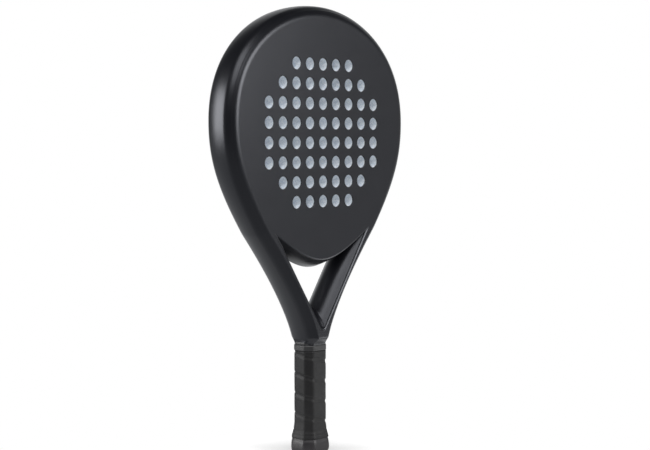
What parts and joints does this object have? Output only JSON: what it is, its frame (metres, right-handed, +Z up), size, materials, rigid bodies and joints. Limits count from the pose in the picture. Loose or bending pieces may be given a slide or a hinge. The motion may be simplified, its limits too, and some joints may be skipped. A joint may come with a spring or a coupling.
{
  "type": "padel racket",
  "caption": "Solid-faced padel racket with a perforated teardrop face, open throat and wrapped octagonal handle",
  "frame": {"origin": "middle of the butt end of the handle, where the racket stands on its cap", "axes": "+Z up the racket's length to the crown of the head, X across its width, -Y the way the front face looks"},
  "size_m": [0.26, 0.038, 0.455],
  "materials": {
    "carbon_shell": "satin charcoal lacquer over carbon fibre",
    "eva_foam": "matte closed-cell foam, pale grey",
    "filler_foam": "rigid polyurethane foam",
    "bladder_film": "thin nylon film",
    "grip_wrap": "matte soft polyurethane wrap",
    "grip_tape": "smooth adhesive tape, semi-matte",
    "cap_plastic": "satin moulded plastic",
    "staple_wire": "drawn steel wire"
  },
  "bodies": {
    "root": {"frame_tube": "carbon_shell", "frame_bladder": "bladder_film", "yoke_wedge": "carbon_shell", "throat_bridge": "carbon_shell", "bridge_foam": "filler_foam", "front_face_skin": "carbon_shell", "eva_core": "eva_foam", "rear_face_skin": "carbon_shell", "handle_foam": "filler_foam", "front_handle_pallet": "filler_foam", "rear_handle_pallet": "filler_foam", "butt_cap": "cap_plastic", "front_cap_staple": "staple_wire", "rear_cap_staple": "staple_wire", "grip_staple": "staple_wire", "base_grip": "grip_wrap", "base_grip_tape": "grip_tape", "overgrip": "grip_wrap", "finishing_tape": "grip_tape"}
  },
  "joints": []
}
